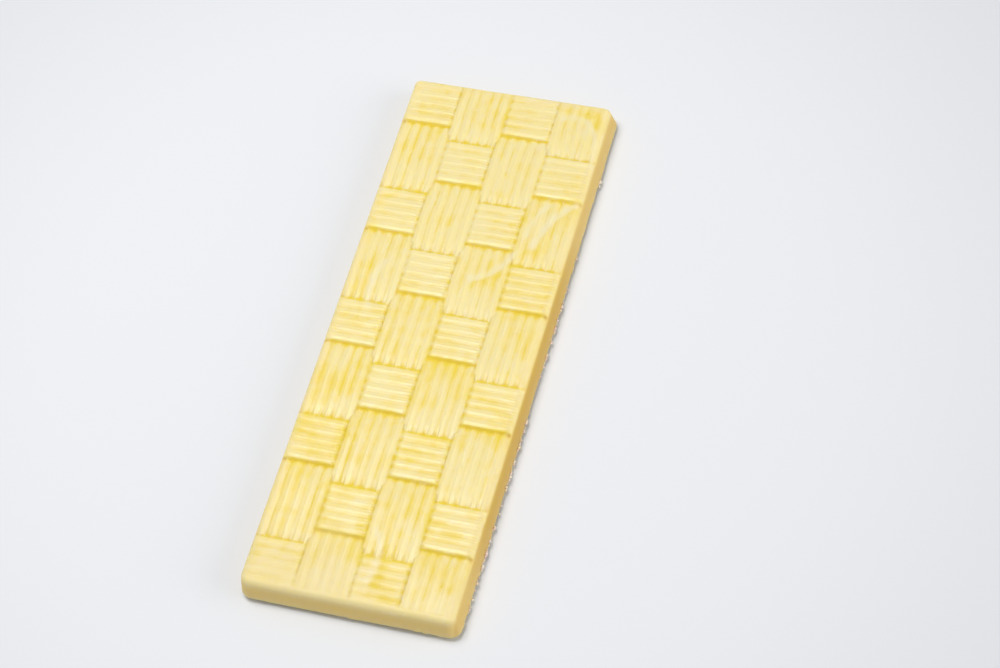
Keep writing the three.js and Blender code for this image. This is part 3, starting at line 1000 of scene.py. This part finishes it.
def any_turns(rng, number):
    """Rotations every way round, as 3 by 3 matrices."""
    w, x, y, z = rng.normal(size=(number, 4)).T
    size = np.sqrt(w * w + x * x + y * y + z * z)
    w, x, y, z = w / size, x / size, y / size, z / size
    rows = (1 - 2 * (y * y + z * z), 2 * (x * y - z * w), 2 * (x * z + y * w),
            2 * (x * y + z * w), 1 - 2 * (x * x + z * z), 2 * (y * z - x * w),
            2 * (x * z - y * w), 2 * (y * z + x * w), 1 - 2 * (x * x + y * y))
    return np.stack(rows, 1).reshape(number, 3, 3)


def flat_turn(angle):
    return np.array(Matrix.Rotation(angle, 3, "Z"))


def grain_shapes():
    """Three crumbs of radius 1, each an uneven ball of 20 faces."""
    shapes = []
    for seed in (1, 2, 3):
        clear_selection()
        bpy.ops.mesh.primitive_ico_sphere_add(subdivisions=1, radius=1)
        bpy.ops.object.mode_set(mode="EDIT")
        bpy.ops.transform.vertex_random(offset=0.3, uniform=1.0, normal=0.0, seed=seed)
        shapes.append(modelled(bpy.context.object))
    return shapes


def grains(shapes, rng, centres, radii):
    """Crumbs at the given places: each is one of the shapes, turned and stretched by a draw."""
    parts = []
    stretch = rng.uniform(0.7, 1.25, (len(centres), 3))
    turns = any_turns(rng, len(centres)) * (stretch * radii[:, None])[:, None, :]
    for which, shape in enumerate(shapes):
        part = slice(which, None, len(shapes))
        parts.append(copied(shape, turns[part], centres[part]))
    points, triangles = joined(parts)
    points[:, 2] = np.maximum(points[:, 2], 0.01 * MM)
    return points, triangles


def loose_crumbs(slab, topping, rng, offset):
    """Fine crumbs all over the layer, thinning out over the bare patches."""
    u, v = even_spots(topping.grain_count, offset)
    stray = rng.uniform(-0.6, 0.6, (2, topping.grain_count)) * MM
    x = u * 2 * (bar_high.x - 0.7 * MM) + stray[0]
    y = v * 2 * (bar_high.y - 0.7 * MM) + stray[1]
    sizes = rng.uniform(0.22, 0.46, len(x))
    coarse = np.where(rng.random(len(x)) < 0.08, 1.6, 1.0)
    radii = sizes * MM * coarse
    kept = (crumb_cover(x, y) > rng.uniform(-0.12, 0.6, len(x))) & (back_rim(x, y) > 0.5 * MM)
    x, y, radii = x[kept], y[kept], radii[kept]
    z = np.minimum(crumb_level(slab, topping, x, y), slab.back_height) - 0.35 * radii
    return np.stack([x, y, np.maximum(z, 1.3 * radii)], 1), radii


# How the crumbs round the rim share out over its sides: right, left, far and near.
RIM_SHARES = (0.53, 0.2, 0.27, 0.0)
RIGHT, FAR = 0, 2


def rim_crumbs(slab, topping, rng, offset):
    """Crumbs in clusters round the rim, most on the right: on the edge and just under it."""
    number = topping.rim_grain_count * 3
    along = even_spots(number, offset)[0] + 0.5
    half_width, half_length = bar_high.x, bar_high.y
    side = rng.choice(4, number, p=RIM_SHARES)
    place = 2 * along - 1
    sign = np.where(side % 2 == 0, 1, -1)
    lengthwise = side < FAR
    radii = rng.uniform(0.18, 0.42, number) * MM
    on_edge = rng.random(number) < 0.45
    inset = np.where(on_edge, -0.3 * radii, rng.uniform(0.1, 1.5, number) * MM)
    above, below = rng.uniform(-0.1, 0.55, number) * MM, -radii * rng.uniform(0.5, 1.6, number)
    rise = np.where(on_edge, above, below)
    clear_of_corner = 3.4 * MM
    x = np.where(lengthwise, sign * (half_width - inset), place * (half_width - clear_of_corner))
    y = np.where(lengthwise, place * (half_length - clear_of_corner), sign * (half_length - inset))
    x = x + slab.right_flare * (side == RIGHT)
    y = y + slab.far_reach * (side == FAR)
    clustered = soft_noise(x + 3 * y, y - x, 6 * MM, 37) + 0.5
    fewer_far_right = 0.8 * (side == RIGHT) * smooth_step(y, 10 * MM, 45 * MM)
    kept = clustered - fewer_far_right > rng.random(number)
    kept &= np.cumsum(kept) <= topping.rim_grain_count
    z = slab.back_height + rise
    centres = np.stack([x, y, np.maximum(z, 1.3 * radii)], 1)
    return centres[kept], radii[kept]


class OBJECT_OT_crumb_layer(bpy.types.Operator):
    """Presses the layer of fine crumbs into the poured back, with bare patches"""

    bl_idname = "chocolate.crumb_layer"
    bl_label = "Crumb layer"

    def execute(self, context):
        scene = context.scene
        slab, topping, colours = scene.bar_slab, scene.bar_topping, scene.bar_colours
        inset, spacing, tuck_height = 1.0 * MM, 0.45 * MM, slab.back_height + 0.45 * MM
        columns = round(2 * (bar_high.x - inset) / spacing)
        rows = round(2 * (bar_high.y - inset) / spacing)
        bed = blank_slab(columns, rows, inset, slab.back_height, [(inset, tuck_height)])
        points = coordinates(bed)
        x, y = round_corners(points[:, 0], points[:, 1], bar_high.x - inset, bar_high.y - inset,
                             slab.left_corner_radius - inset)
        lower = points[:, 2] < (slab.back_height + tuck_height) / 2
        z = np.where(lower, crumb_level(slab, topping, x, y), tuck_height)
        place_vertices(bed, np.stack([x, y, z], 1))
        material = crumb_material("crumb_layer", colours.crumb, colours.crumb_pink)
        finish_piece(bed, "crumb_layer", material)
        return {"FINISHED"}


class OBJECT_OT_loose_crumbs(bpy.types.Operator):
    """Scatters loose crumbs of two colours over the layer and round the rim"""

    bl_idname = "chocolate.loose_crumbs"
    bl_label = "Loose crumbs"

    def execute(self, context):
        scene = context.scene
        slab, topping, colours = scene.bar_slab, scene.bar_topping, scene.bar_colours
        shapes = grain_shapes()
        kinds = (
            ("crumbs_cream", colours.crumb, colours.crumb_light, 0.5, 71),
            ("crumbs_pink", colours.crumb_pink, colours.crumb_pink_light, 0.21, 72),
        )
        for name, deep, pale, offset, seed in kinds:
            rng = np.random.default_rng(seed)
            over, over_radii = loose_crumbs(slab, topping, rng, offset)
            rim, rim_radii = rim_crumbs(slab, topping, rng, offset)
            centres, radii = np.concatenate([over, rim]), np.concatenate([over_radii, rim_radii])
            crumbs = mesh_object(*grains(shapes, rng, centres, radii))
            finish_piece(crumbs, name, crumb_material(name, deep, pale), CRUMB_CREASE)
        return {"FINISHED"}


def rough_clot(ball, index, scale, turn, lift):
    """One clot: the ball made uneven, stretched, turned about Z and stood at its lift."""
    shift = 5.0 * index
    rough = (soft_noise(ball[:, 0] + shift, ball[:, 1] + 2 * ball[:, 2], 0.9, 38)
             + 0.8 * soft_noise(ball[:, 1] + shift, ball[:, 2] - ball[:, 0], 0.35, 39))
    shaped = (ball * (1 + 0.13 * rough)[:, None] * scale) @ flat_turn(turn).T
    shaped[:, 2] -= shaped[:, 2].min() - lift
    return shaped


class OBJECT_OT_crumb_clots(bpy.types.Operator):
    """Lays larger clots of crumbs stuck together, each with fine crumbs on it"""

    bl_idname = "chocolate.crumb_clots"
    bl_label = "Crumb clots"

    def execute(self, context):
        scene = context.scene
        topping, colours = scene.bar_topping, scene.bar_colours
        clear_selection()
        bpy.ops.mesh.primitive_ico_sphere_add(subdivisions=3, radius=1)
        ball, triangles = modelled(bpy.context.object)
        fine = grain_shapes()
        rng = np.random.default_rng(73)
        draw = draws(41)
        crumbs_on_clot = 26
        parts = []
        for index, (u, v) in enumerate(zip(*even_spots(topping.clot_count, 0.13))):
            centre, turn = strewn_place(u, v, draw)
            size = topping.clot_radius * (0.75 + 0.5 * next(draw))
            next(draw)  # the solid's tilt, which a rough ball doesn't show
            scale = np.array([0.8 + 0.7 * next(draw), 0.8 + 0.5 * next(draw), 0.75]) * size
            shaped = rough_clot(ball, index, scale, turn, 0.25 * MM * next(draw))
            parts.append((shaped + centre, triangles))
            seats = rng.choice(len(ball), crumbs_on_clot, replace=False)
            radii = rng.uniform(0.2, 0.42, len(seats)) * MM
            seated = shaped[seats] + centre
            seated[:, 2] = np.maximum(seated[:, 2], 1.3 * radii)
            parts.append(grains(fine, rng, seated, radii))
        clots = mesh_object(*joined(parts))
        material = crumb_material("crumb_clots", colours.clot, colours.clot_deep)
        finish_piece(clots, "crumb_clots", material, CRUMB_CREASE)
        return {"FINISHED"}


def strewn_place(u, v, draw):
    """A spot on the back, strayed by two draws, and a third draw's turn."""
    inset, stray = 2.4 * MM, 2.2 * MM
    x = u * 2 * (bar_high.x - inset - stray / 2) + stray * (next(draw) - 0.5)
    y = v * 2 * (bar_high.y - inset - stray / 2) + stray * (next(draw) - 0.5)
    return np.array([x, y, 0.0]), next(draw) * math.pi


def roughened(amount, seed):
    """Unevens the shape being modelled, and takes it as points and triangles."""
    bpy.ops.mesh.select_all(action="SELECT")
    bpy.ops.transform.vertex_random(offset=amount, uniform=1.0, normal=0.0, seed=seed)
    return modelled(bpy.context.object)


def bead_shape(topping):
    clear_selection()
    bpy.ops.mesh.primitive_ico_sphere_add(subdivisions=2, radius=topping.bead_radius)
    bpy.ops.object.mode_set(mode="EDIT")
    return roughened(0.07 * MM, 4)


def pearl_shape(topping):
    clear_selection()
    bpy.ops.mesh.primitive_ico_sphere_add(subdivisions=3, radius=topping.pearl_radius)
    bpy.ops.object.mode_set(mode="EDIT")
    bpy.ops.mesh.select_all(action="SELECT")
    bpy.ops.transform.resize(value=(0.85, 1.35, 0.9))
    return roughened(0.03 * MM, 5)


def rod_shape(topping):
    """A stick with round ends and a slight bow."""
    clear_selection()
    radius = topping.rod_radius
    bpy.ops.mesh.primitive_cylinder_add(
        vertices=12, radius=radius, depth=topping.rod_length, rotation=(math.pi / 2, 0, 0))
    bpy.ops.object.mode_set(mode="EDIT")
    bpy.ops.mesh.select_mode(type="FACE")
    bpy.ops.mesh.select_all(action="DESELECT")
    bpy.ops.mesh.select_face_by_sides(number=12)
    bpy.ops.mesh.inset(thickness=0.45 * radius, depth=0.28 * radius)
    bpy.ops.mesh.select_all(action="SELECT")
    bpy.ops.mesh.subdivide(number_cuts=1, smoothness=0.0)
    points, triangles = roughened(0.04 * MM, 6)
    points[:, 2] += 0.03 * MM * np.cos(points[:, 1] / topping.rod_length * math.pi)
    return points, triangles


def star_shape(topping, arms):
    """A pressed star or flower: a circle whose every other point is drawn in, given thickness."""
    clear_selection()
    bpy.ops.mesh.primitive_circle_add(
        vertices=2 * arms, radius=topping.shape_radius, fill_type="NGON")
    star = bpy.context.object
    points = coordinates(star)
    points[::2, :2] *= 0.52
    place_vertices(star, points)
    bpy.ops.object.mode_set(mode="EDIT")
    bpy.ops.mesh.select_all(action="SELECT")
    bpy.ops.mesh.extrude_region_move(
        TRANSFORM_OT_translate={"value": (0, 0, 0.8 * topping.shape_height)})
    bpy.ops.mesh.select_all(action="SELECT")
    bpy.ops.mesh.normals_make_consistent(inside=False)
    bpy.ops.mesh.bevel(offset=0.16 * topping.shape_radius, segments=2, affect="EDGES")
    return roughened(0.02 * MM, 7)


def button_shape(topping):
    """A pressed round button, a little narrower at one end."""
    clear_selection()
    bpy.ops.mesh.primitive_cone_add(
        vertices=18, radius1=0.85 * topping.shape_radius, radius2=0.72 * topping.shape_radius,
        depth=topping.shape_height)
    bpy.ops.object.mode_set(mode="EDIT")
    bpy.ops.mesh.select_all(action="SELECT")
    bpy.ops.mesh.bevel(offset=0.22 * topping.shape_height, segments=3, affect="EDGES")
    return roughened(0.02 * MM, 8)


SPRINKLE_COLOURS = {
    "bead": ("teal", "green", "orange", "yellow", "magenta", "pink", "purple", "white"),
    "pearl": ("white", "pink", "green", "orange"),
    "rod": ("teal", "orange", "green", "pink"),
    "star": ("purple", "teal"), "flower": ("pink", "white"), "button": ("yellow", "orange"),
}
KIND_LIMITS = (("bead", 0.58), ("rod", 0.72), ("pearl", 0.84))
PRESSED_KINDS = ("star", "flower", "button")


def sprinkle_kind(share, index):
    """The kind that a draw from 0 to 1 picks. Above the last limit, the pressed kinds take turns."""
    for kind, limit in KIND_LIMITS:
        if share < limit:
            return kind
    return PRESSED_KINDS[index % len(PRESSED_KINDS)]


def large_sprinkles(topping, shapes, parts, pick):
    """Strews sprinkles that stand on the surface, each added to its colour's parts."""
    draw = draws(23)
    for index, (u, v) in enumerate(zip(*even_spots(topping.sprinkle_count, 0.5))):
        centre, turn = strewn_place(u, v, draw)
        kind = sprinkle_kind(next(draw), index)
        names = SPRINKLE_COLOURS[kind]
        points, triangles = shapes[kind]
        placed = points @ flat_turn(turn).T
        placed[:, 2] -= placed[:, 2].min()
        parts[names[int(next(pick) * len(names))]].append((placed + centre, triangles))


def fine_beads(topping, shapes, parts, pick):
    """Strews tiny beads that are half sunk in the crumbs, in every colour by turns."""
    names = SPRINKLE_COLOURS["bead"]
    points, triangles = shapes["bead"]
    for index, (u, v) in enumerate(zip(*even_spots(topping.fine_bead_count, 0.77))):
        centre, turn = strewn_place(u, v, pick)
        placed = points * (0.42 + 0.28 * next(pick)) @ flat_turn(turn).T
        placed[:, 2] += 0.85 * MM - placed[:, 2].mean() - 0.35 * MM * next(pick)
        placed[:, 2] -= min(placed[:, 2].min(), 0)
        parts[names[index % len(names)]].append((placed + centre, triangles))


class OBJECT_OT_sugar_sprinkles(bpy.types.Operator):
    """Strews sugar beads, pearls, rods, stars and buttons, one piece for each colour"""

    bl_idname = "chocolate.sugar_sprinkles"
    bl_label = "Sugar sprinkles"

    def execute(self, context):
        scene = context.scene
        topping, colours = scene.bar_topping, scene.bar_colours
        shapes = {
            "bead": bead_shape(topping), "pearl": pearl_shape(topping), "rod": rod_shape(topping),
            "star": star_shape(topping, 5), "flower": star_shape(topping, 6),
            "button": button_shape(topping),
        }
        parts = {name: [] for name in SPRINKLE_COLOURS["bead"]}
        pick = draws(97)
        large_sprinkles(topping, shapes, parts, pick)
        fine_beads(topping, shapes, parts, pick)
        for name, pieces in parts.items():
            if not pieces:
                raise RuntimeError(f"no sprinkle took the colour {name}")
            sprinkles = mesh_object(*joined(pieces))
            material = sugar_material(f"sugar_{name}", getattr(colours, name))
            finish_piece(sprinkles, f"sprinkles_{name}", material, SUGAR_CREASE)
        return {"FINISHED"}


# ---- The stage ----


def add_camera(stage):
    """Adds the camera, aimed by heading, elevation and roll at a point on the bar's face."""
    target = Vector((17.064, 4.03, 6.95)) * MM
    heading, elevation, roll = stage.heading, stage.elevation, stage.roll
    forward = Vector((math.sin(heading) * math.cos(elevation),
                      math.cos(heading) * math.cos(elevation), -math.sin(elevation)))
    level = Vector((math.cos(heading), -math.sin(heading), 0))
    upright = level.cross(forward)
    right = level * math.cos(roll) + upright * math.sin(roll)
    up = upright * math.cos(roll) - level * math.sin(roll)
    turn = Matrix((right, up, -forward)).transposed()
    bpy.ops.object.camera_add(
        location=target - forward * stage.distance, rotation=turn.to_euler())
    camera = bpy.context.object
    camera.name = "camera"
    camera.data.lens = stage.lens
    camera.data.sensor_width = 36
    camera.data.clip_start = 0.01
    bpy.context.scene.camera = camera


def add_soft_light(name, toward, distance, size, power):
    """Adds a square light that shines on the bar from the way given."""
    clear_selection()
    toward = Vector(toward).normalized()
    bpy.ops.object.light_add(
        type="AREA", location=toward * distance, rotation=toward.to_track_quat("Z", "Y").to_euler())
    light = bpy.context.object
    light.name = name
    light.data.size = size
    light.data.energy = power


class SCENE_OT_bar_stage(bpy.types.Operator):
    """Lays a plain pale floor, sets soft studio light and adds the camera"""

    bl_idname = "chocolate.bar_stage"
    bl_label = "Stage and camera"

    def execute(self, context):
        scene = context.scene
        stage = scene.bar_stage
        clear_selection()
        bpy.ops.mesh.primitive_plane_add(size=3, location=(0, 0, 0))
        floor = context.object
        floor.name = "floor"
        floor.data.materials.append(floor_material(tuple(stage.floor)))
        add_camera(stage)
        add_soft_light("key_light", (-0.22, 0.08, 0.95), 0.72, 0.34, stage.key_power)
        add_soft_light("fill_light", (0.93, 0.05, 0.34), 1.2, 0.9, stage.fill_power)
        world = bpy.data.worlds.new("pale_room")
        scene.world = world
        world.use_nodes = True
        background = world.node_tree.nodes["Background"]
        background.inputs["Color"].default_value = (0.94, 0.96, 1.0, 1.0)
        background.inputs["Strength"].default_value = stage.fill_strength
        scene.view_settings.view_transform = "Standard"
        return {"FINISHED"}


class VIEW3D_PT_chocolate_bar(bpy.types.Panel):
    """Everything that makes the bar, and the sizes and colours to change"""

    bl_label = "Chocolate bar"
    bl_idname = "VIEW3D_PT_chocolate_bar"
    bl_space_type = "VIEW_3D"
    bl_region_type = "UI"
    bl_category = "Chocolate"

    def draw(self, context):
        layout = self.layout
        for operator in OPERATORS:
            layout.operator(operator.bl_idname)
        for name in SETTINGS:
            group = getattr(context.scene, name)
            column = layout.column(align=True)
            for field in group.bl_rna.properties:
                if field.identifier not in ("rna_type", "name"):
                    column.prop(group, field.identifier)


SETTINGS = {
    "bar_weave": BarWeaveSettings,
    "bar_slab": BarSlabSettings,
    "bar_topping": BarToppingSettings,
    "bar_colours": BarColourSettings,
    "bar_stage": BarStageSettings,
}
OPERATORS = (
    OBJECT_OT_woven_bar,
    OBJECT_OT_crumb_layer,
    OBJECT_OT_loose_crumbs,
    OBJECT_OT_crumb_clots,
    OBJECT_OT_sugar_sprinkles,
    SCENE_OT_bar_stage,
)


def register():
    for group in SETTINGS.values():
        bpy.utils.register_class(group)
    for name, group in SETTINGS.items():
        setattr(bpy.types.Scene, name, bpy.props.PointerProperty(type=group))
    for operator in OPERATORS:
        bpy.utils.register_class(operator)
    bpy.utils.register_class(VIEW3D_PT_chocolate_bar)


def unregister():
    bpy.utils.unregister_class(VIEW3D_PT_chocolate_bar)
    for operator in reversed(OPERATORS):
        bpy.utils.unregister_class(operator)
    for name, group in SETTINGS.items():
        delattr(bpy.types.Scene, name)
        bpy.utils.unregister_class(group)


def main():
    register()
    bpy.ops.chocolate.woven_bar()
    bpy.ops.chocolate.crumb_layer()
    bpy.ops.chocolate.loose_crumbs()
    bpy.ops.chocolate.crumb_clots()
    bpy.ops.chocolate.sugar_sprinkles()
    bpy.ops.chocolate.bar_stage()


if __name__ == "__main__":
    main()
